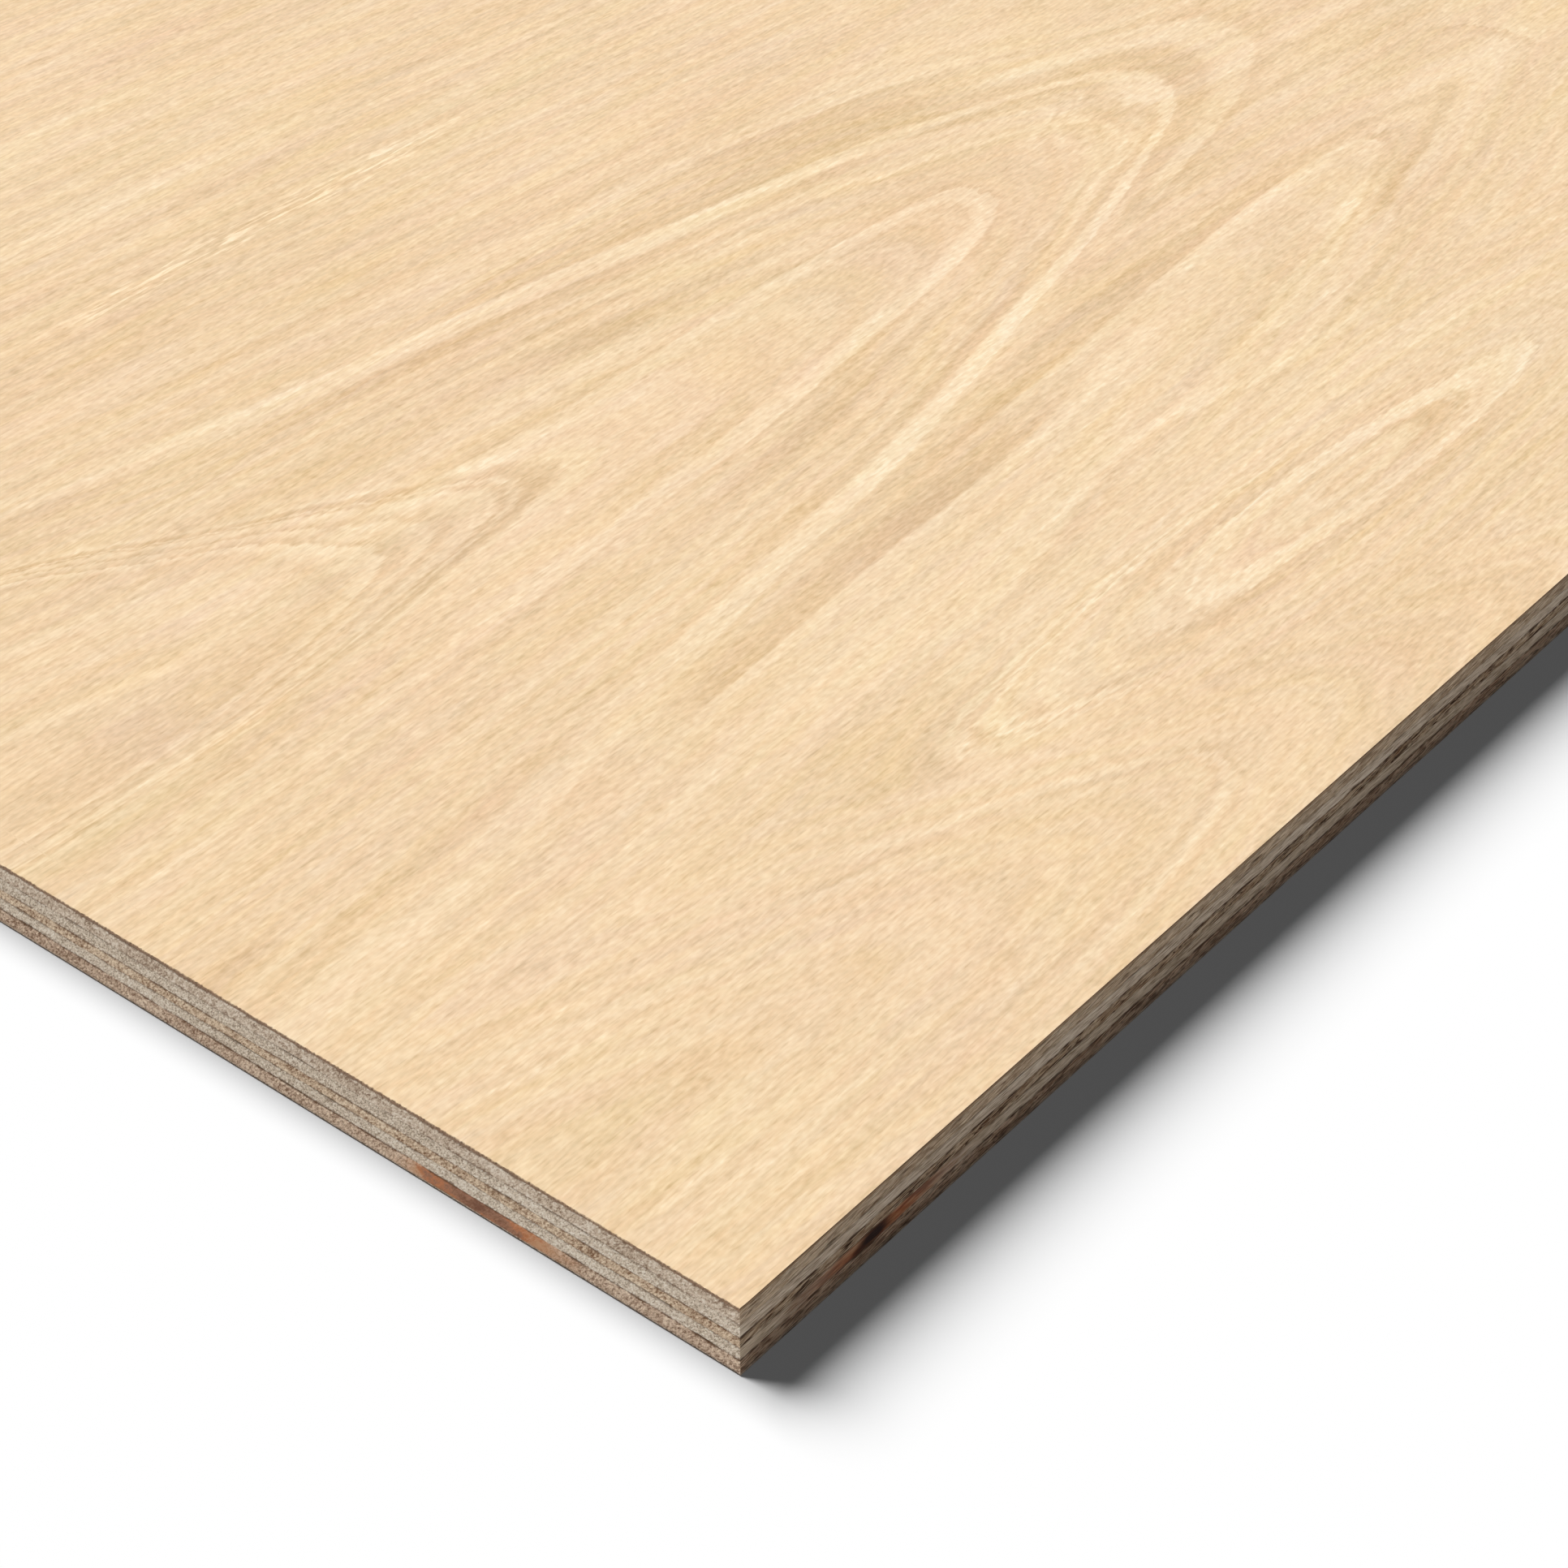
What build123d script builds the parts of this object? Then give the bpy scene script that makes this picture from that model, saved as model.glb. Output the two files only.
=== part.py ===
from build123d import *
import os

# A plywood sheet lying flat: five thick core veneers between two thin decorative ones.
# X runs along the length and the grain of the face, Y across the width and Z up.
# The origin is at the middle of the underside. All sizes are in millimetres.

# The outline that the sheet is sold in
sheet_length = 2440.0
sheet_width = 1220.0

# The thickness of each kind of veneer. Those of the whole lay-up add up to an 18 mm sheet
face_veneer_thickness = 0.8
long_ply_thickness = 3.6
cross_ply_thickness = 3.2
centre_ply_thickness = 2.8
back_veneer_thickness = 0.8

# The lay-up as it is stacked for the press, from the underside up.
# The grain of the long plies, the centre ply and both thin veneers runs along X, that of the
# cross plies along Y. Each ply has its like at the same distance from the middle of the sheet,
# and this balance is what keeps the sheet flat.
layup = [
    ("back_veneer", back_veneer_thickness),
    ("lower_long_ply", long_ply_thickness),
    ("lower_cross_ply", cross_ply_thickness),
    ("centre_ply", centre_ply_thickness),
    ("upper_cross_ply", cross_ply_thickness),
    ("upper_long_ply", long_ply_thickness),
    ("face_veneer", face_veneer_thickness),
]

os.makedirs("parts", exist_ok=True)

# All veneers are trimmed together by the saw, so they share one outline with square, flush edges,
# and each lies face to face on the one below it
underside = 0.0
for name, thickness in layup:
    with BuildPart() as ply:
        with BuildSketch(Plane.XY.offset(underside)):
            Rectangle(sheet_length, sheet_width)
        extrude(amount=thickness)
    ply.part.label = name
    export_step(ply.part, f"parts/{name}.step")
    underside += thickness
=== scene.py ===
import math

import bpy
import numpy as np
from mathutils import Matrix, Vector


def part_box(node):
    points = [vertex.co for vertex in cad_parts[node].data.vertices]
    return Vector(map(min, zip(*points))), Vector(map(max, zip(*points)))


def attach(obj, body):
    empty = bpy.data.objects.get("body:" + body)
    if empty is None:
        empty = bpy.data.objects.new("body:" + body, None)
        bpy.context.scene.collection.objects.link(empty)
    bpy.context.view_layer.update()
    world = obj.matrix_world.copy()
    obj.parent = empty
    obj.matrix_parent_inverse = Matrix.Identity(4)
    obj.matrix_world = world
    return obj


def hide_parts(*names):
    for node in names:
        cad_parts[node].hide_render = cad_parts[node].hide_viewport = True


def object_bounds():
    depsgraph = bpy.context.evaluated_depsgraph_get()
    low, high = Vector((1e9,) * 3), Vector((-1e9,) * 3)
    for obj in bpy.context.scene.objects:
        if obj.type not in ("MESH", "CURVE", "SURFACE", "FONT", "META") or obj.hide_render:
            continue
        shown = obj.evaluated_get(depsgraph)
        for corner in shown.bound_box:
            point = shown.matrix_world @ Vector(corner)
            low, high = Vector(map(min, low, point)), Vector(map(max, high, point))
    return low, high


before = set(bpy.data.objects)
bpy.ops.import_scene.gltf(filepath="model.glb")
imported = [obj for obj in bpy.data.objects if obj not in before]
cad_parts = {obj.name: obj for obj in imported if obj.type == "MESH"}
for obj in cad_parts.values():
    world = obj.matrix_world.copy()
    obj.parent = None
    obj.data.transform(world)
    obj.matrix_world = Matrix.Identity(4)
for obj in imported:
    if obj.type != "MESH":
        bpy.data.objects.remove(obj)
cad_low, cad_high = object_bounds()

# Back veneer: the thin plain veneer that closes the underside, peeled from the same pale hardwood as the
# face but chosen for soundness, not for looks. It is pressed onto the core with glue, then the whole sheet
# is sanded and sawn square, so its edge is flush with the others.
MM = 0.001
sheet_length = cad_high.x - cad_low.x
sheet_width = cad_high.y - cad_low.y
half_outline = np.array([sheet_length / 2, sheet_width / 2])
saw_tolerance = 0.01 * MM
edge_step = 2.5 * MM
flat_margin = 8 * MM
glue_groove = 0.05 * MM
glue_wander = 0.16 * MM
glue_wave_count = 24
glue_wave_turns = (30, 700)


def outline(end_step, side_step):
    """Points round the sheet, anticlockwise from its near left corner, and the count on a side and an end."""
    side = np.linspace(-1, 1, round(sheet_length / side_step), endpoint=False)
    end = np.linspace(-1, 1, round(sheet_width / end_step), endpoint=False)
    runs = [(side, -1 + 0 * side), (1 + 0 * end, end), (-side, 1 + 0 * side), (-1 + 0 * end, -end)]
    return np.concatenate([np.stack(run, 1) for run in runs]) * half_outline, len(side), len(end)


def glue_stray(height, around):
    """How far the glue line at this height strays up or down at each place round the sheet, in metres."""
    if height in (cad_low.z, cad_high.z):
        return 0 * around
    draw = np.random.default_rng(round(height / MM * 10))
    turns = draw.integers(*glue_wave_turns, glue_wave_count)
    starts = draw.uniform(0, 2 * np.pi, glue_wave_count)
    sizes = draw.uniform(-1, 1, glue_wave_count) * glue_wander / math.sqrt(glue_wave_count)
    return np.sin(np.outer(around * 2 * np.pi, turns) + starts) @ sizes


shown_share = 0.9
hidden_share = 0.01
flat_spread = 0.49
strips_with_face = 4
strips_alone = 32
strip_fill = 0.8
strip_border = 0.1


def surface_map(loops, faces, flat_count, shown):
    """Where each corner of a veneer's faces lies on its flat picture map, from 0 to 1 each way.

    The edge is cut into strips, laid one above the other. A face that shows, the underside or the top,
    takes most of the map, and one that the other veneers hide takes next to nothing."""
    count = len(loops[0])
    ring_count = len(loops) - 1
    points = np.concatenate(loops)
    face_share = 0.0 if shown is None else shown_share
    strip_count = strips_alone if shown is None else strips_with_face
    edge_low = face_share + 2 * hidden_share

    def laid_flat(corners, face):
        low, share = (0, face_share) if face == shown else (face_share, hidden_share)
        spread = points[corners, :2] / half_outline * flat_spread + 0.5
        return np.stack([spread[:, 1], low + spread[:, 0] * share], 1)

    def in_strip(ring):
        start = np.arange(count) * strip_count / count
        strip = np.floor(start)
        ahead = strip_count / count
        left = (start - strip) / (1 + ahead)
        right = (start - strip + ahead) / (1 + ahead)
        levels = [(place - 1) / (ring_count - 2) * strip_fill + strip_border for place in (ring, ring + 1)]
        heights = [edge_low + (strip + level) / strip_count * (1 - edge_low) for level in levels]
        corners = [(left, heights[0]), (right, heights[0]), (right, heights[1]), (left, heights[1])]
        return np.stack([np.stack(corner, 1) for corner in corners], 1).reshape(-1, 2)

    ring_corners = np.array(faces[:ring_count * count]).reshape(ring_count, -1)
    spots = [laid_flat(ring_corners[0], "underside")]
    spots += [in_strip(ring) for ring in range(1, ring_count - 1)]
    spots.append(laid_flat(ring_corners[-1], "top"))
    for face, first in (("top", ring_count * count), ("underside", ring_count * count + flat_count)):
        spots.append(laid_flat(np.concatenate(faces[first:first + flat_count]), face))
    return np.concatenate(spots)


def sawn_veneer(node, rows, end_step=edge_step, side_step=edge_step, shown=None):
    """Replaces a veneer's plain solid with a closed mesh whose sawn edges follow the straying glue lines.

    Each row across the edge is a share of the thickness, measured from the underside, and how far saw and
    sander have taken the edge back there, in metres, at each place round the sheet."""
    low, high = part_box(node)
    points, side_count, end_count = outline(end_step, side_step)
    count = len(points)
    around = np.arange(count) / count
    under = low.z + glue_stray(low.z, around)
    over = high.z + glue_stray(high.z, around)
    inner = points * (1 - flat_margin / half_outline)
    loops = [np.column_stack([inner, np.full(count, low.z)])]
    carried = [np.column_stack([np.full((count, 2), 1.0), np.zeros(count)])]
    for share, inset in rows(points):
        reach = half_outline - np.broadcast_to(inset, count)[:, None]
        level = under + share * (over - under)
        loops.append(np.column_stack([np.clip(points, -reach, reach), level]))
        carried.append(np.column_stack([level - under, over - level, np.broadcast_to(inset, count)]) / MM)
    loops.append(np.column_stack([inner, np.full(count, high.z)]))
    carried.append(carried[0])

    here = np.arange(count)
    beside = (here + 1) % count
    faces = []
    for first in range(0, (len(loops) - 1) * count, count):
        ring = np.stack([here, beside, beside + count, here + count], 1) + first
        faces += ring.tolist()
    front = list(range(side_count + 1))
    back = [2 * side_count + end_count - place for place in front]
    right_end = list(range(side_count, side_count + end_count + 1))
    left_end = list(range(2 * side_count + end_count, count)) + [0]
    flat = [[front[i], front[i + 1], back[i + 1], back[i]] for i in range(1, side_count - 1)]
    flat.append([front[1], back[1]] + left_end)
    flat.append([front[-2]] + right_end + [back[-2]])
    last = (len(loops) - 1) * count
    faces += [[last + place for place in face] for face in flat]
    faces += [face[::-1] for face in flat]

    mesh = bpy.data.meshes.new(node + "_sawn")
    mesh.from_pydata(np.concatenate(loops).tolist(), [], faces)
    spots = surface_map(loops, faces, len(flat), shown)
    mesh.uv_layers.new(name="OFBake").data.foreach_set("uv", spots.ravel())
    for name, values in zip(("above_glue", "below_glue", "set_back"), np.concatenate(carried).T):
        layer = mesh.attributes.new(name, "FLOAT", "POINT")
        layer.data.foreach_set("value", values.astype(np.float32))
    piece = bpy.data.objects.new(node + "_sawn", mesh)
    bpy.context.scene.collection.objects.link(piece)
    # The wood throws none of its colour onto the floor, so the shadow stays grey
    piece.visible_diffuse = False
    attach(piece, "root")
    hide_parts(node)
    return piece


class Flow:
    """One value on its way through a material's nodes, so that shader maths reads as plain arithmetic."""

    def __init__(self, socket):
        self.socket = socket

    def node(self, kind, settings, inputs, output=0):
        """Adds a node after this value: its settings first, then the values or links of its sockets."""
        tree = self.socket.id_data
        made = tree.nodes.new(kind)
        for key, value in settings.items():
            if key == "stops":
                for spot, _ in value[len(made.color_ramp.elements):]:
                    made.color_ramp.elements.new(spot)
                for element, (spot, colour) in zip(made.color_ramp.elements, value):
                    element.position = spot
                    element.color = colour
            else:
                setattr(made, key, value)
        for key, value in inputs.items():
            if isinstance(value, Flow):
                tree.links.new(value.socket, made.inputs[key])
            else:
                made.inputs[key].default_value = value
        return Flow(made.outputs[output])

    def math(self, operation, *values):
        return self.node("ShaderNodeMath", {"operation": operation}, dict(enumerate(values)))

    def __add__(self, other):
        return self.math("ADD", self, other)

    __radd__ = __add__

    def __sub__(self, other):
        return self.math("SUBTRACT", self, other)

    def __rsub__(self, other):
        return self.math("SUBTRACT", other, self)

    def __mul__(self, other):
        return self.math("MULTIPLY", self, other)

    __rmul__ = __mul__

    def __truediv__(self, other):
        return self.math("DIVIDE", self, other)

    def __abs__(self):
        return self.math("ABSOLUTE", self)

    def axis(self, index):
        """One coordinate of a position or direction."""
        return self.node("ShaderNodeSeparateXYZ", {}, {0: self}, index)

    def turned(self, *angles):
        """A position turned about X, Y and Z, in radians."""
        return self.node("ShaderNodeMapping", {}, {"Vector": self, "Rotation": angles})

    def noise(self, lengths, detail=2.0, roughness=0.5, distortion=0.0, offset=(0, 0, 0)):
        """Noise from 0 to 1 over a position, with grains of these lengths in mm along X, Y and perhaps Z."""
        scale = [1 / (length * MM) for length in lengths] + [0.0] * (3 - len(lengths))
        spot = self.node("ShaderNodeVectorMath", {"operation": "MULTIPLY_ADD"},
                         {0: self, 1: scale, 2: offset})
        return self.node("ShaderNodeTexNoise", {"noise_dimensions": f"{len(lengths)}D"},
                         {"Vector": spot, "Scale": 1.0, "Detail": detail, "Roughness": roughness,
                          "Distortion": distortion})

    def step(self, low, high):
        """0 below low, 1 above high and a smooth rise between them."""
        return self.node("ShaderNodeMapRange", {"interpolation_type": "SMOOTHSTEP"},
                         {"Value": self, "From Min": low, "From Max": high})

    def ramp(self, *stops):
        """The colour that this value picks from stops of value and colour."""
        return self.node("ShaderNodeValToRGB", {"stops": stops}, {0: self})

    def mix(self, first, second):
        """The first colour where this value is 0 and the second where it is 1."""
        return self.node("ShaderNodeMix", {"data_type": "RGBA"}, {0: self, 6: first, 7: second}, 2)

    def mix_value(self, first, second):
        """The first value where this one is 0 and the second where it is 1."""
        return first + (second - first) * self

    def shaded(self, amount):
        """This colour with every channel multiplied by the amount."""
        return self.node("ShaderNodeVectorMath", {"operation": "SCALE"}, {0: self, 3: amount})


def tint(red, green, blue):
    """A colour as a screen shows it, from 0 to 255, in the linear values that shaders take."""
    shares = [value / 255 for value in (red, green, blue)]
    return [v / 12.92 if v <= 0.04045 else ((v + 0.055) / 1.055) ** 2.4 for v in shares] + [1.0]


sanded_gloss = 0.1
facing_turn = (0.3, 0.7)


class Finish:
    """A material being made up: the place and facing to draw the wood from, and the shader to feed."""

    def __init__(self, name):
        self.material = bpy.data.materials.new(name)
        self.material.use_nodes = True
        self.shader = self.material.node_tree.nodes["Principled BSDF"]
        self.shader.inputs["Specular IOR Level"].default_value = sanded_gloss
        nodes = self.material.node_tree.nodes
        self.place = Flow(nodes.new("ShaderNodeTexCoord").outputs["Object"])
        self.facing = Flow(nodes.new("ShaderNodeNewGeometry").outputs["Normal"])

    def carried(self, name):
        """A value that the mesh carries under this name."""
        return self.place.node("ShaderNodeAttribute", {"attribute_name": name}, {}, "Fac")

    def faces(self, axis):
        """1 where the surface faces along this axis, either way, and 0 where it faces across it."""
        return abs(self.facing.axis(axis)).step(*facing_turn)

    def apply(self, piece, slot_name, colour, roughness, height, relief):
        """Feeds the shader and puts the material on the piece."""
        bump = height.node("ShaderNodeBump", {}, {"Height": height, "Strength": 1.0, "Distance": relief})
        links = self.material.node_tree.links
        links.new(colour.socket, self.shader.inputs["Base Color"])
        links.new(roughness.socket, self.shader.inputs["Roughness"])
        links.new(bump.socket, self.shader.inputs["Normal"])
        piece.data.materials.append(self.material)


foot_wear = 0.12 * MM
sanding_wear = 0.02 * MM
sanded_relief = 0.02 * MM
# Painted contact shadow: a dark grey along the foot of the end edges, where the sheet meets the floor
painted_contact_shadow = tint(74, 68, 63)


def thin_rows(points):
    """A thin veneer's edge: taken back a little at its glue line and at its sanded outer arris."""
    return [(0, foot_wear), (0.3, sanding_wear), (0.7, 0.0), (1, glue_groove)]


back_veneer = sawn_veneer("back_veneer", thin_rows, shown="underside")
finish = Finish("back_veneer_sanded")
fibres = finish.place.noise((9, 0.8, 0.8), detail=3)
underside = fibres.ramp((0.3, tint(222, 190, 149)), (0.5, tint(238, 209, 171)), (0.7, tint(250, 224, 187)))
edge = 1 - finish.faces(2)
cut = finish.place.noise((4, 0.6, 0.4), roughness=0.7)
foot = cut.ramp((0.35, tint(116, 94, 78)), (0.5, tint(192, 166, 144)), (0.65, tint(228, 208, 188)))
# Painted contact shadow: the lower part of the ends' edge is darkened towards dark grey in the colour
contact_shadow_mask = 1 - (finish.carried("above_glue") + (cut - 0.5) * 0.2).step(0.45, 0.65)
colour = edge.mix(underside, (contact_shadow_mask * finish.faces(0) * 0.9).mix(foot, painted_contact_shadow))
finish.apply(back_veneer, "back_veneer", colour, fibres * 0.2 + 0.55, fibres, sanded_relief)

# Long plies: the three thick core veneers whose grain runs the length of the sheet, peeled from darker,
# cheaper logs. The saw shows their open grain as brown strokes and small splits along the sides and as a
# coarse speckle on the ends, and the glue between the veneers leaves a broken brown line above and below.
fibre_rise = 0.07
end_slant = 0.85
# Painted shade: the long sides' colour is multiplied down to this level of the ends', times each ply's
# channel shares, so they stay darker than the ends under any light
painted_side_shade = 0.74
glue_brown = tint(112, 82, 60)
glue_shadow = tint(84, 60, 44)
# Dark brown of the open grain, and of the painted shade in the splits
open_grain_and_split_shade = tint(84, 60, 44)
split_row_count = 13
split_step = 1.0 * MM
split_length = (1.5, 4.5)
split_height = (0.07, 0.11)
split_level = (0.05, 0.95)
split_depth = (0.10, 0.3)
long_relief = 0.2 * MM
stain_centre = (-1220, -545, 2.6)
stain_reach = (30, 28, 12)
# Per ply: colours, splits, open grain, glue, and the channel shares of the painted shade on its long sides
long_plies = {
    "lower_long_ply": {
        "dark": tint(128, 94, 70), "mid": tint(208, 178, 152), "pale": tint(250, 228, 202),
        "split_seed": 3, "split_spacing": 9 * MM, "open_grain": 0.75,
        "end_glue": (0, 0.95), "side_glue": (0, 0.9), "side_shade_tint": (1.28, 1.2, 1.14)},
    "centre_ply": {
        "dark": tint(134, 98, 70), "mid": tint(212, 184, 154), "pale": tint(250, 230, 202),
        "split_seed": 4, "split_spacing": 5 * MM, "open_grain": 1.0,
        "end_glue": (0.7, 0.8), "side_glue": (0.5, 1.0), "side_shade_tint": (1.1, 1.05, 1.0)},
    "upper_long_ply": {
        "dark": tint(152, 126, 104), "mid": tint(214, 192, 168), "pale": tint(246, 232, 214),
        "split_seed": 5, "split_spacing": 16 * MM, "open_grain": 0.45,
        "end_glue": (0.7, 0.75), "side_glue": (0.3, 0.2), "side_shade_tint": (1.2, 1.12, 1.0)},
}


def split_rows(seed, spacing):
    """A long ply's edge: taken back at its two glue lines, with lens-shaped splits on the long sides."""
    def rows(points):
        draw = np.random.default_rng(seed)
        shares = np.linspace(0, 1, split_row_count)
        near_glue = np.abs(shares - 0.5) > 0.49
        insets = np.where(near_glue, glue_groove, 0.0)[:, None] + np.zeros(len(points))
        for face_side in (-1, 1):
            along_side = np.flatnonzero(points[:, 1] * face_side > half_outline[1] - saw_tolerance)
            for _ in range(round(sheet_length / spacing)):
                middle = draw.uniform(-1, 1) * half_outline[0]
                length = draw.uniform(*split_length) * MM
                height = draw.uniform(*split_height)
                level = draw.uniform(*split_level)
                nearby = along_side[np.abs(points[along_side, 0] - middle) < length]
                across_split = ((shares - level) / height)[:, None] ** 2
                along_split = ((points[nearby, 0] - middle) / length)[None, :] ** 2
                depth = draw.uniform(*split_depth) * MM * np.clip(1 - across_split - along_split, 0, 1)
                insets[:, nearby] = np.maximum(insets[:, nearby], depth)
        return list(zip(shares, insets))
    return rows


def from_knot(finish, centre, reach, ragged):
    """How far out in a knot a place lies: 0 at its heart, 1 at its uneven rim. Centre and reach in mm."""
    away = finish.place.node("ShaderNodeVectorMath", {"operation": "SUBTRACT"},
                             {0: finish.place, 1: [value * MM for value in centre]})
    scaled = finish.place.node("ShaderNodeVectorMath", {"operation": "DIVIDE"},
                               {0: away, 1: [value * MM for value in reach]})
    return finish.place.node("ShaderNodeVectorMath", {"operation": "LENGTH"}, {0: scaled}, "Value") + ragged


def glue_line(finish, speckle, lower, upper):
    """How brown the glue has left a place near a ply's lower and upper limit: soft, broken and uneven."""
    unevenness = finish.place.noise((6, 5, 3), roughness=0.7)
    reach = unevenness.step(0.3, 0.7) * 0.6 + 0.1
    jag = (speckle - 0.5) * 0.7
    near_lower = 1 - ((finish.carried("above_glue") + jag) / reach).step(0.1, 1.1)
    near_upper = 1 - ((finish.carried("below_glue") + jag) / reach).step(0.1, 1.1)
    return (near_lower * lower + near_upper * upper) * (unevenness.step(0.35, 0.6) * 0.75 + 0.25)


def sawn_edge(finish, wood, speckle, side, ply):
    """A core ply's wood and glue lines, with painted shade that darkens both on the long sides."""
    lower, upper = [side.mix_value(*ends) for ends in zip(ply["end_glue"], ply["side_glue"])]
    glued = glue_line(finish, speckle, lower, upper).mix(wood, side.mix(glue_brown, glue_shadow))
    # Painted shade: the long sides' wood and glue are darkened by a set level and the ply's channel shares
    side_shade_tint = [painted_side_shade * share for share in ply["side_shade_tint"]]
    side_shaded = glued.node("ShaderNodeVectorMath", {"operation": "MULTIPLY"}, {0: glued, 1: side_shade_tint})
    return side.mix(glued, side_shaded)


for node, ply in long_plies.items():
    splits = split_rows(ply["split_seed"], ply["split_spacing"])
    piece = sawn_veneer(node, splits, side_step=split_step)
    finish = Finish(node + "_sawn")
    side = finish.faces(1)
    slanted = finish.place.turned(end_slant, 0, 0)
    risen = finish.place.turned(0, fibre_rise, 0)
    granules = slanted.noise((8, 1.0, 0.42), roughness=0.7, distortion=0.4)
    strokes = risen.noise((3.2, 3, 0.21), roughness=0.6, distortion=0.6)
    speckle = side.mix_value(granules, strokes)
    drift = risen.noise((24, 12, 2.6))
    wood = (speckle + (drift - 0.5) * 0.3).ramp((0.32, ply["dark"]), (0.5, ply["mid"]), (0.68, ply["pale"]))
    dashes = risen.noise((7, 4, 0.46), distortion=0.9, offset=(4, 0, 2)).step(0.57, 0.63) * side
    lens = abs(risen.noise((9, 4, 0.9), detail=1, distortion=0.6, offset=(0, 7, 3)) - 0.5)
    lens_spread = risen.noise((7, 5, 1.2), detail=1, offset=(3, 2, 9)).step(0.4, 0.6)
    lens_rim = (1 - lens.step(0.015, 0.07)) * lens_spread * side
    open_grain = dashes.math("MAXIMUM", dashes, lens_rim) * ply["open_grain"]
    # Painted shade in the splits: the deeper the edge is set back there, the nearer its colour comes to dark
    # brown
    taken_back = finish.carried("set_back").step(0.06, 0.3)
    wood = open_grain.math("MAXIMUM", open_grain, taken_back * 0.75).mix(wood, open_grain_and_split_shade)
    if node == "lower_long_ply":
        ragged = finish.place.noise((9, 7, 4), roughness=0.6) - 0.5
        outward = from_knot(finish, stain_centre, stain_reach, ragged * 0.6)
        streaky = finish.place.noise((6, 5, 4), roughness=0.6, offset=(1, 4, 2)) - 0.5
        streaky = streaky * 1.1 + (speckle - 0.5) * 0.6
        stained = (outward + streaky).ramp((0.0, tint(134, 90, 68)), (0.25, tint(176, 126, 98)),
                                           (0.42, tint(202, 128, 84)), (0.65, tint(214, 160, 120)))
        wood = ((1 - outward.step(0.45, 1.0)) * 0.95).mix(wood, stained)
    colour = sawn_edge(finish, wood, speckle, side, ply)
    finish.apply(piece, "long_ply", colour, speckle * 0.2 + 0.7, speckle, long_relief)

# Cross plies: the two thick core veneers laid across the sheet, between the long ones, so that the sheet
# is strong both ways and stays flat. They are paler, greyer and finer than the long plies, and a small
# sound knot in the lower one was sawn through on the long side, near the corner.
cross_relief = 0.14 * MM
knot_black = tint(50, 36, 34)
knot_centre = (-1180, -610, 6.0)
knot_reach = (8.0, 10, 2.6)
flare_centre = (-1178, -610, 5.9)
flare_reach = (36, 14, 5)
# Per ply: glue, and the channel shares of the painted shade on its long sides
cross_plies = {
    "lower_cross_ply": {"end_glue": (0.7, 0.5), "side_glue": (0.8, 0.3), "side_shade_tint": (1.22, 1.14, 1.06)},
    "upper_cross_ply": {"end_glue": (0.6, 0.4), "side_glue": (1.0, 0.25), "side_shade_tint": (1.16, 1.11, 1.07)},
}


def core_rows(points):
    """A cross ply's edge: taken back a little at its two glue lines."""
    return [(0, glue_groove), (0.1, 0.0), (0.5, 0.0), (0.9, 0.0), (1, glue_groove)]


for node, ply in cross_plies.items():
    piece = sawn_veneer(node, core_rows)
    finish = Finish(node + "_sawn")
    side = finish.faces(1)
    slanted = finish.place.turned(end_slant, 0, 0)
    granules = slanted.noise((8, 0.7, 0.34), roughness=0.7, distortion=0.3)
    smooth = finish.place.noise((4, 3, 0.3), roughness=0.6)
    speckle = side.mix_value(granules, 0.5 + (smooth - 0.5) * 0.85)
    drift = finish.place.noise((50, 60, 4))
    wood = (speckle + (drift - 0.5) * 0.2).ramp((0.32, tint(154, 134, 112)), (0.5, tint(224, 205, 182)),
                                                (0.68, tint(252, 242, 226)))
    if node == "lower_cross_ply":
        ragged = finish.place.noise((9, 6, 1.6), roughness=0.6)
        uneven = (ragged - 0.5) * 0.6
        flare = 1 - from_knot(finish, flare_centre, flare_reach, uneven).step(0.1, 1.0)
        dark_heart = 1 - from_knot(finish, knot_centre, knot_reach, uneven).step(0.3, 1.1)
        russet = ragged.ramp((0.4, tint(136, 76, 50)), (0.52, tint(186, 114, 76)),
                             (0.62, tint(204, 144, 104)))
        wood = dark_heart.mix(flare.mix(wood, russet), knot_black)
    colour = sawn_edge(finish, wood, speckle, side, ply)
    finish.apply(piece, "cross_ply", colour, speckle * 0.2 + 0.7, speckle, cross_relief)

# Face veneer: the thin decorative veneer that the sheet is bought for, sliced from a pale log so that its
# growth rings open into long noses and eyes, and sanded smooth. Its ends, cut across the grain, are frayed.
fray_seed = 7
fray_depth = 0.26 * MM
fray_step = 0.5 * MM


def frayed_rows(points):
    """The face veneer's edge: torn back unevenly at its upper arris on the ends, cut across the grain."""
    draw = np.random.default_rng(fray_seed)
    on_end = np.abs(points[:, 0]) > half_outline[0] - saw_tolerance
    taken_back = draw.uniform(0, 1, len(points)) ** 2 * fray_depth * on_end
    return [(0, glue_groove), (0.4, sanding_wear + taken_back * 0.3), (0.8, 0.03 * MM + taken_back * 0.7),
            (1, glue_groove + taken_back)]


face_veneer = sawn_veneer("face_veneer", frayed_rows, end_step=fray_step, shown="top")
finish = Finish("face_veneer_sanded")
place = finish.place

# Places on the face in mm from its near left corner, along and across the grain, with a slow waver
waver = (150, 50)
along = (place.axis(0) - cad_low.x) / MM + (place.noise(waver, 1) - 0.5) * 20
across = (place.axis(1) - cad_low.y) / MM + (place.noise(waver, 1, offset=(8, 2, 0)) - 0.5) * 8


def beyond(distance):
    """The distance where it is above 0, and 0 elsewhere."""
    return distance.math("MAXIMUM", distance, 0.0)


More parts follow.
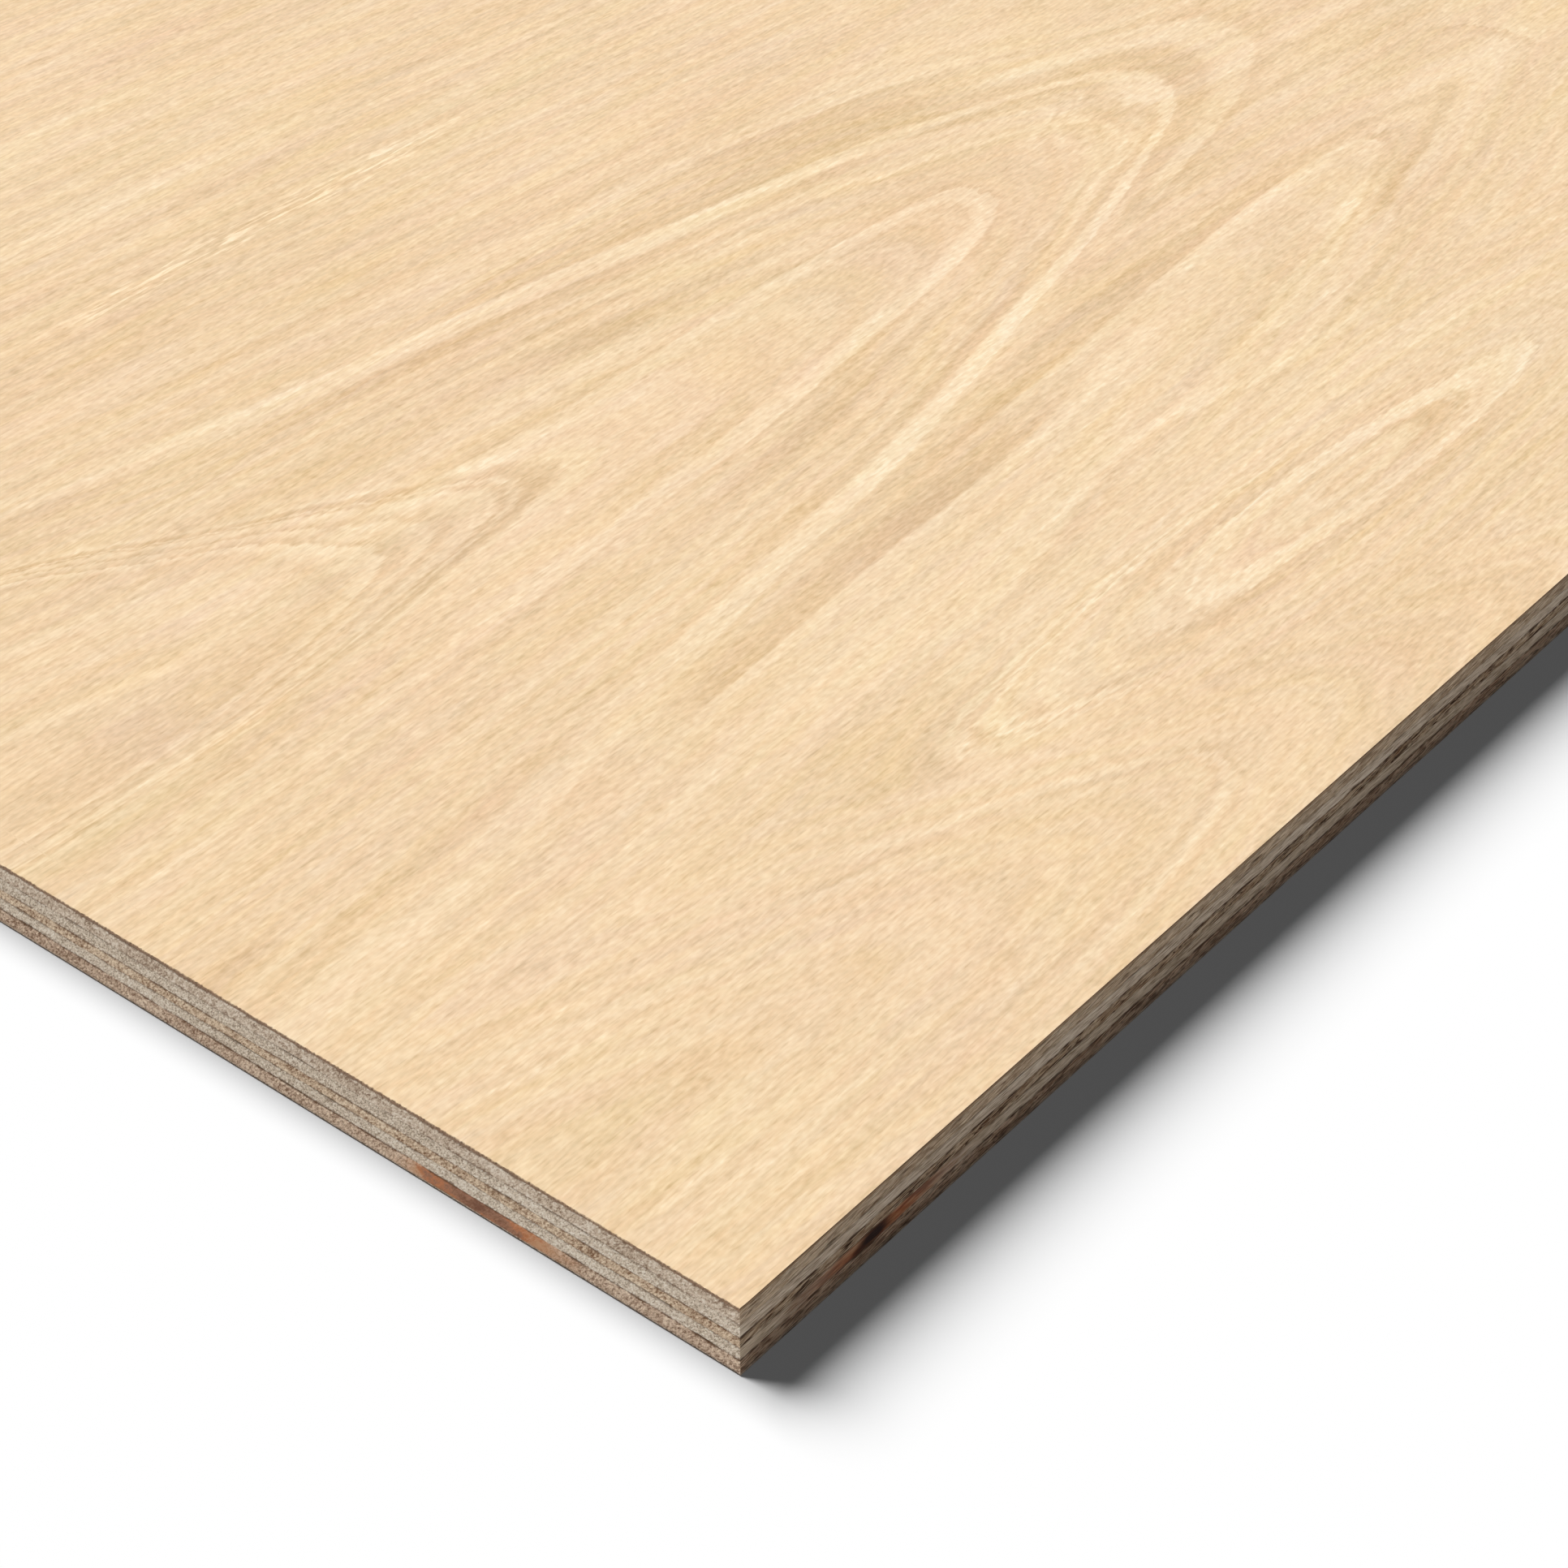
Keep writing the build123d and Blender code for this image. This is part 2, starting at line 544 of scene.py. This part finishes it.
def nose(base, tip, axis, rise, depth, power, roundness, lift=0.0):
    """Ring depth in mm round a long nose that ends at the tip: the same rings run along both its flanks."""
    run = along.math("SMOOTH_MIN", (along - base) / (tip - base), 1.25, 0.2)
    run = run.math("POWER", beyond(run), power)
    off = across - axis - (along - tip) * rise
    flank = off.math("SQRT", off * off + roundness * roundness) - roundness
    return (run * depth - depth) * (1 - flank.step(40, 95)) + flank + lift


def eye(middle, axis, rise, half_length, half_width, pace=1.0, lift=0.0):
    """Ring depth in mm round a closed eye: its rings are long ovals."""
    lengthwise = (along - middle) / (half_length / half_width)
    off = across - axis - (along - middle) * rise
    return (off.math("SQRT", lengthwise * lengthwise + off * off) - half_width) * pace + lift


def nearest(first, second, softness=6.0):
    """The lesser of two ring depths, with a soft change from one to the other."""
    return first.math("SMOOTH_MIN", first, second, softness)


# The way that the fine grain bends round the noses and the eye
flow = nose(base=0, tip=446, axis=213, rise=0.0, depth=68, power=2.75, roundness=12)
arm_flow = nose(base=200, tip=457, axis=145, rise=0.06, depth=16, power=3.0, roundness=4, lift=-18)
eye_flow = eye(middle=307, axis=62, rise=-0.02, half_length=79, half_width=12, pace=1.9, lift=-32)
corner_flow = nose(base=-300, tip=190, axis=24, rise=-0.16, depth=45, power=3.0, roundness=8, lift=-24)
end_flow = nose(base=-200, tip=177, axis=216, rise=-0.08, depth=30, power=3.0, roundness=5, lift=-42)
for nearby_flow in (arm_flow, eye_flow, corner_flow, end_flow):
    flow = nearest(flow, nearby_flow)

# Ring edges fray along the grain, and above the long nose the rings spread towards the sheet's end
fray = place.noise((13, 2.0), roughness=0.6) - 0.5
fray_fine = place.noise((4, 0.8), 1) - 0.5
frayed = along + fray * 8 + fray_fine * 3
spread = beyond(230 - along) / 170
spread = spread * spread * across.step(215, 255) * (1 - across.step(275, 335))
spread_across = across - spread * 30


def arch(tip, axis, rise, widening, power, roundness=4.0):
    """How far outside one ring that ends in a nose a place lies, in mm along the grain and in mm square to
    the ring: both are below 0 within the nose."""
    off = spread_across - axis - (frayed - tip) * rise
    off = (off.math("SQRT", off * off + roundness * roundness) - roundness) / widening
    lengthwise = frayed - tip + off.math("POWER", off, 1 / power)
    slant = off.math("POWER", off, 1 / power - 1) / (power * widening)
    return lengthwise, lengthwise / slant.math("SQRT", slant * slant + 1)


def between(inner, outer):
    """0 at the inner of two rings, 1 at the outer and their share of the way between."""
    return beyond(inner) / (beyond(inner) + beyond(0 - outer) + 0.001)


def tones(depth, *stops):
    """The light and dark of rings one after the other: stops of depth in mm and levels of brightness."""
    low = stops[0][0]
    high = stops[-1][0]
    greys = [((ring - low) / (high - low), [0.5 + tone / 20] * 3 + [1.0]) for ring, tone in stops]
    return (((depth - low) / (high - low)).ramp(*greys) - 0.5) * 20


# The long nose: its heart, and the rings out to the bright one
_, heart = arch(tip=362, axis=214, rise=0.04, widening=3.4, power=0.36, roundness=3.0)
past_tip, bright_ring = arch(tip=448, axis=219, rise=0.02, widening=2.35, power=0.60, roundness=6.0)
ring_span = 30
way_out = between(heart, bright_ring)
way_out = way_out.math("POWER", way_out, 0.65 + along.step(370, 440) * 0.35)
inner_rings = way_out * ring_span - ring_span - beyond(0 - heart)
figure = tones(
    inner_rings, (-60, 0.0), (-48, 1.0), (-42, -1.5), (-37, 2.5), (-31, 3.2), (-30, -5.0), (-28, -3.0),
    (-24, 0.0), (-21, -2.5), (-17.5, -0.5), (-16, 2.5), (-14.8, -3.5), (-13.5, 2.0), (-12, -3.5), (-11, 2.0),
    (-9.8, -4.5), (-6.8, -5.0), (-5.6, 3.5), (-1.5, 5.0), (-0.5, 6.0), (-0.1, 0.0))
figure = figure * (1 - along.step(410, 440) * 0.25)
upper = across.step(195, 235)
dark_patch = (1 - abs(along - 262).step(15, 55)) * (upper * 0.6 + 0.4)
figure = figure + tones(inner_rings, (-25, 0.0), (-22, -4.0), (-19, -4.0), (-17.5, 0.0)) * dark_patch
below_axis = (1 - upper) * along.step(180, 280)
figure = figure + below_axis * tones(
    inner_rings, (-42, 0.0), (-38, 2.2), (-31, 2.2), (-30.5, 0.0), (-6.5, 0.0), (-5, 1.5), (-1, 1.5),
    (-0.3, 0.0))

# Outside the long nose: a dark crescent along each flank, and past its tip the rings that follow it
_, last_ring = arch(tip=570, axis=190, rise=-0.08, widening=6.1, power=0.46)
last_ring = last_ring.math("SMOOTH_MAX", last_ring, spread_across - 288 - fray * 6, 5.0)
outer_rings = between(bright_ring, last_ring) * 15 + beyond(last_ring)
upper_crescent = tones(
    outer_rings, (0.0, 0.0), (0.3, -4.0), (7, -5.0), (13, -4.5), (13.6, 3.0), (16, 2.0), (18, 0.0))
lower_crescent = outer_rings.step(0.0, 0.5) * tones(
    outer_rings + along.step(230, 400) * 4, (0.3, -2.0), (2, -1.0), (3.2, -1.5), (4, -5.0), (11.5, -5.5),
    (12.3, 3.0), (15, 1.5), (18, 0.0))
crescent = upper.mix_value(lower_crescent * along.step(125, 150) * (1.2 - along.step(200, 380) * 0.8),
                           upper_crescent * along.step(190, 250))
far_rings = tones(
    past_tip, (0.0, 0.0), (1.5, -5.0), (15, -5.0), (20, -1.0), (25, 3.0), (40, 3.5), (44, -3.5), (52, -2.0),
    (60, 1.0), (70, -1.5), (80, 0.5), (95, 0.0))
past_crescent = upper.mix_value(along.step(350, 410), along.step(380, 440))
figure = figure + past_crescent.mix_value(crescent, far_rings)
figure = figure * (along.step(60, 240) * 0.6 + 0.4)

# The second nose, inside the long one, at the sheet's end
left_nose, _ = arch(tip=177, axis=216, rise=-0.12, widening=1.61, power=0.607, roundness=3.0)
figure = figure + 1.4 * tones(
    left_nose, (-75, 0.0), (-58, -2.0), (-50, 2.5), (-45, 3.5), (-43, -3.0), (-36, 0.0), (-30, 2.0),
    (-27, -3.5), (-20, 1.0), (-12, 2.0), (-8, -4.0), (-5, 2.0), (-2, -4.5), (4, -3.0), (10, 2.5), (24, 0.0))

# The light arm beside the long nose, cut off aslant at its tip
_, light_arm = arch(tip=457, axis=145, rise=0.09, widening=2.7, power=0.31)
arm_axis = across - 145 - (along - 457) * 0.09
arm_foot = across - 146 - (frayed - 460) * 0.415
arm_top = along.step(395, 420).mix_value(arm_axis.step(-9, 0), arm_foot.step(-1, 1))
arm = tones(light_arm, (-14, 1.0), (-8, 4.0), (-1, 8.0), (-0.3, 7.0), (0.4, -4.0), (3, -3.0), (6, 0.0))
figure = figure + arm * arm_top * along.step(100, 420)

# The closed eye, the dark round it and the loops at its left
clean_oval = eye(middle=302, axis=62, rise=-0.06, half_length=82, half_width=11) + fray * 3
oval = clean_oval + fray_fine * 2
eye_rings = tones(
    oval, (-12, -3.0), (-10, -3.0), (-9, -1.0), (-7.2, -1.0), (-6.3, -3.5), (-4.2, -3.0), (-3.2, 3.0),
    (-0.3, 4.5), (0.4, 0.0))
figure = figure + eye_rings * (0.7 + along.step(300, 365))
shade = tones(oval, (0, 0.0), (0.8, -4.5), (4, -4.0), (6, 0.0))
figure = figure + shade * (1 - abs(along - 290).step(40, 90))
loops = tones(
    clean_oval, (4.8, 0.0), (5.6, -3.5), (6.6, 3.5), (7.4, -4.0), (8.4, 2.5), (9.3, -2.0), (11, 0.0))
lower_loop = 2 - along.step(180, 225) * 2
upper_loop = 2 - along.step(200, 320) * 1.6
figure = figure + loops * across.step(50, 64).mix_value(lower_loop, upper_loop)

# The faint nose at the near corner
_, corner_nose = arch(tip=190, axis=24, rise=-0.16, widening=2.59, power=0.51)
corner_rings = tones(
    corner_nose, (-34, 0.0), (-22, -0.7), (-12, 0.0), (-9, 1.5), (-7, 0.5), (-4.5, -3.0), (-2, 1.8),
    (-0.5, 2.2), (1, -2.0), (5, 0.0))
figure = figure + corner_rings * along.step(30, 120)

# Small dark dabs, each with its middle, axis, rise, half length, half width and level
dabs = ((452, 134, 0.31, 30, 3.2, -5.5), (450, 124, 0.0, 30, 3.0, -3.5), (505, 177, 0.0, 28, 6.0, -4.0),
        (6, 141, 0.0, 15, 5.0, -5.0))
for middle, axis, rise, half_length, half_width, level in dabs:
    dab = eye(middle, axis, rise, half_length, half_width) + fray * 4
    figure = figure + tones(dab, (-half_width, level), (-1, level * 0.8), (1, 0.0))

# A bud below the arm's tip, a bowed line past it and a ripple between the arm and the eye
bud = eye(middle=388, axis=120, rise=0.12, half_length=42, half_width=7) + fray * 4
figure = figure + tones(bud, (-7, 1.0), (-2, 0.0), (-0.6, 2.5), (0.5, -2.0), (2.5, 0.0))
bow = beyond(across - 150)
whorl = frayed - 537 + bow * bow * 0.032
bowed_line = tones(whorl, (-8, 0.0), (-4, -3.5), (-0.4, -5.5), (0.4, 1.5), (5, 1.0), (9, 0.0))
figure = figure + bowed_line * (1 - abs(across - 155).step(8, 18))
swell = (along - 285) / 45
ripple = across - 98 - 13 * swell.math("EXPONENT", 0 - swell * swell) + fray * 5
ripple_tone = tones(ripple, (-7, 0.0), (-4, -3.0), (-1.5, -2.5), (0.2, 4.5), (2.2, 3.0), (3.5, 0.0))
figure = figure + ripple_tone * along.step(160, 220) * (1 - along.step(340, 420))

# The rest of the sheet: calm rings of the same kind, which bend more and more away from the near corner
far_along = beyond(along - 600)
far_off = far_along.math("MAXIMUM", far_along, beyond(across - 500) * 1.6)
bend = (place.noise((900, 150), 1, 0.4, offset=(3, 5, 0)) - 0.5) * far_off.step(0, 420) * 190
flow = flow + bend
repeat = 76
ring_place = (flow + fray * 5) / repeat
far_figure = tones(
    ring_place.math("FRACT", ring_place) * repeat, (0, 0.0), (5, -3.5), (12, -2.5), (13, 3.0), (20, 1.0),
    (30, -1.5), (31, 2.0), (40, 0.5), (48, -3.0), (49, -0.5), (58, 2.5), (66, 0.5), (repeat, 0.0))
figure = figure + far_figure * far_off.step(20, 160) * 0.7

# Growth: the rings, stronger in some places than in others, with broad light and dark between them
contrast = place.noise((110, 25), 1) * 2.4 + 0.75
clouds = place.noise((110, 40), 1) - 0.5
glow = (1 - abs(across - 90).step(20, 55)) * (1 - abs(along - 255).step(55, 130))
dull = across.step(285, 305) * (1 - across.step(370, 400)) * (1 - along.step(240, 330))
ringwise = place.node("ShaderNodeCombineXYZ", {}, {"X": along * MM, "Y": (flow + fray * 4) * MM})
bands = ringwise.noise((240, 9), 1, 0.6, offset=(6, 2, 0)) - 0.5
growth = figure * contrast + clouds * 11 + glow * 6 - dull * 4 + bands * 11

# Grain: the fine lines, fibres and pores, with one row of light flecks
long_lines = ringwise.noise((300, 2.6), 1, 0.6, offset=(4, 1, 0)) - 0.5
streaks = ringwise.noise((90, 3.4), 1, 0.6) - 0.5
lines = ringwise.noise((28, 1.7), 1, 0.6) - 0.5
fibres = place.noise((7.0, 1.0), 1, 0.7) - 0.5
flakes = place.noise((3.2, 1.6), 1, 1.0, offset=(5, 9, 0)) - 0.5
pores = place.noise((4.5, 0.5), 0, offset=(2, 3, 0)).step(0.65, 0.8)
fleck_row = (1 - abs(across - 355).step(2, 7)) * along.step(130, 180) * (1 - along.step(270, 320))
flecks = place.noise((14, 1.3), 1, offset=(1, 6, 0)).step(0.5, 0.65) * fleck_row
grain = long_lines * 16 + streaks * 19 + lines * 8 + fibres * 30 + flakes * 27 + flecks * 24 - pores * 8

# Colour: straw and rosy wood in patches, with more or less yellow in it
tone = 0.5 + (growth + grain) * 0.02
patches = place.noise((150, 55), 1, offset=(1, 8, 0)) - 0.5
rosy_streaks = ringwise.noise((45, 5), 2, 0.7, offset=(3, 7, 0)) - 0.5
rosy_flakes = place.noise((3, 1.2), 1, 0.8, offset=(7, 1, 0)) - 0.5
rosiness = 0.5 - growth * 0.013 + rosy_streaks * 0.7 + rosy_flakes * 0.42 + patches * 0.35
straw = tone.ramp((0.0, tint(211, 187, 149)), (0.5, tint(237, 213, 177)), (0.8, tint(250, 228, 193)),
                  (1.0, tint(253, 240, 208)))
rosy = tone.ramp((0.0, tint(219, 183, 139)), (0.5, tint(245, 209, 167)), (0.8, tint(255, 224, 183)),
                 (1.0, tint(255, 236, 198)))
honey = ringwise.noise((60, 9), 2, 0.8, offset=(9, 4, 0)) - 0.5 + patches * 0.4
less_yellow = (0.0, 0.0, 0.085)
wood = rosiness.mix(straw, rosy)
wood = wood.node("ShaderNodeVectorMath", {"operation": "MULTIPLY_ADD"}, {0: honey, 1: less_yellow, 2: wood})

# Edge: dark and torn at the glue on the ends, dark at the upper arris on the long sides, and painted shade
# over the long sides
edge = 1 - finish.facing.axis(2).step(*facing_turn)
cut = place.noise((5, 0.5, 0.4), roughness=0.7) - 0.5
above_glue = finish.carried("above_glue")
end_dark = 1 - (above_glue + cut * 0.9).step(0.5, 0.8)
end_cut = (cut + 0.5).ramp((0.3, tint(96, 66, 48)), (0.7, tint(168, 132, 106)))
end_wood = (end_dark * 0.88).mix(wood.shaded(0.8), end_cut)
side_dark = (above_glue + cut * 0.6).step(0.4, 0.62)
side_cut = (cut + 0.5).ramp((0.35, tint(150, 116, 84)), (0.65, tint(222, 186, 148)))
side_wood = (side_dark * 0.75).mix(side_cut, tint(92, 66, 46))
colour = edge.mix(wood, finish.faces(1).mix(end_wood, side_wood.shaded(painted_side_shade)))
finish.apply(face_veneer, "face_veneer", colour, fibres * 0.2 + 0.6, fibres, sanded_relief)

# Floor: the plain surface that the sheet lies on, painted matt white and wide enough to fill any view.
# It is no part of the sheet, and takes its shadow.
floor_reach = 30.0
floor_mesh = bpy.data.meshes.new("floor")
floor_corners = [(-floor_reach, -floor_reach, 0), (floor_reach, -floor_reach, 0),
                 (floor_reach, floor_reach, 0), (-floor_reach, floor_reach, 0)]
floor_mesh.from_pydata(floor_corners, [], [(0, 1, 2, 3)])
floor = bpy.data.objects.new("floor", floor_mesh)
bpy.context.scene.collection.objects.link(floor)
floor_paint = Finish("floor_white")
floor_paint.shader.inputs["Base Color"].default_value = (1, 1, 1, 1)
floor_paint.shader.inputs["Roughness"].default_value = 1.0
floor_paint.shader.inputs["Specular IOR Level"].default_value = 0.0
floor_mesh.materials.append(floor_paint.material)

# Light: one large soft lamp far behind the sheet's back long side, and a weak even light from all round.
# Together they bring white that lies flat to plain white. The background is white to the eye and in gloss.
even_light = 0.068
lamp_tilt = math.radians(44)
lamp_turn = math.radians(3.0)
lamp_softness = math.radians(40)
sun = bpy.data.objects.new("soft_lamp", bpy.data.lights.new("soft_lamp", "SUN"))
bpy.context.scene.collection.objects.link(sun)
sun.data.energy = (1 - even_light) * math.pi / math.cos(lamp_tilt)
sun.data.angle = lamp_softness
sun.rotation_euler = (-lamp_tilt, 0, lamp_turn)
world = bpy.data.worlds.new("even_light")
bpy.context.scene.world = world
world.use_nodes = True
background = world.node_tree.nodes["Background"]
path = world.node_tree.nodes.new("ShaderNodeLightPath")
seen = [Flow(path.outputs[ray]) for ray in ("Is Camera Ray", "Is Glossy Ray", "Is Transmission Ray")]
brightness = sum(seen) * (1 - even_light) + even_light
world.node_tree.links.new(brightness.socket, background.inputs["Strength"])
background.inputs["Color"].default_value = (1, 1, 1, 1)

# Camera: it stands beyond the near left corner and looks down along the sheet, so that the corner, a
# piece of both edges and the figure of the face fill the view.
camera = bpy.data.objects.new("camera", bpy.data.cameras.new("camera"))
bpy.context.scene.collection.objects.link(camera)
camera.location = (-1.575476, -0.910284, 0.507512)
camera.rotation_euler = (math.radians(51.736), 0, math.radians(-50.8115))
camera.data.lens = 83.80
camera.data.sensor_width = 36
bpy.context.scene.camera = camera
bpy.context.scene.view_settings.view_transform = "Standard"
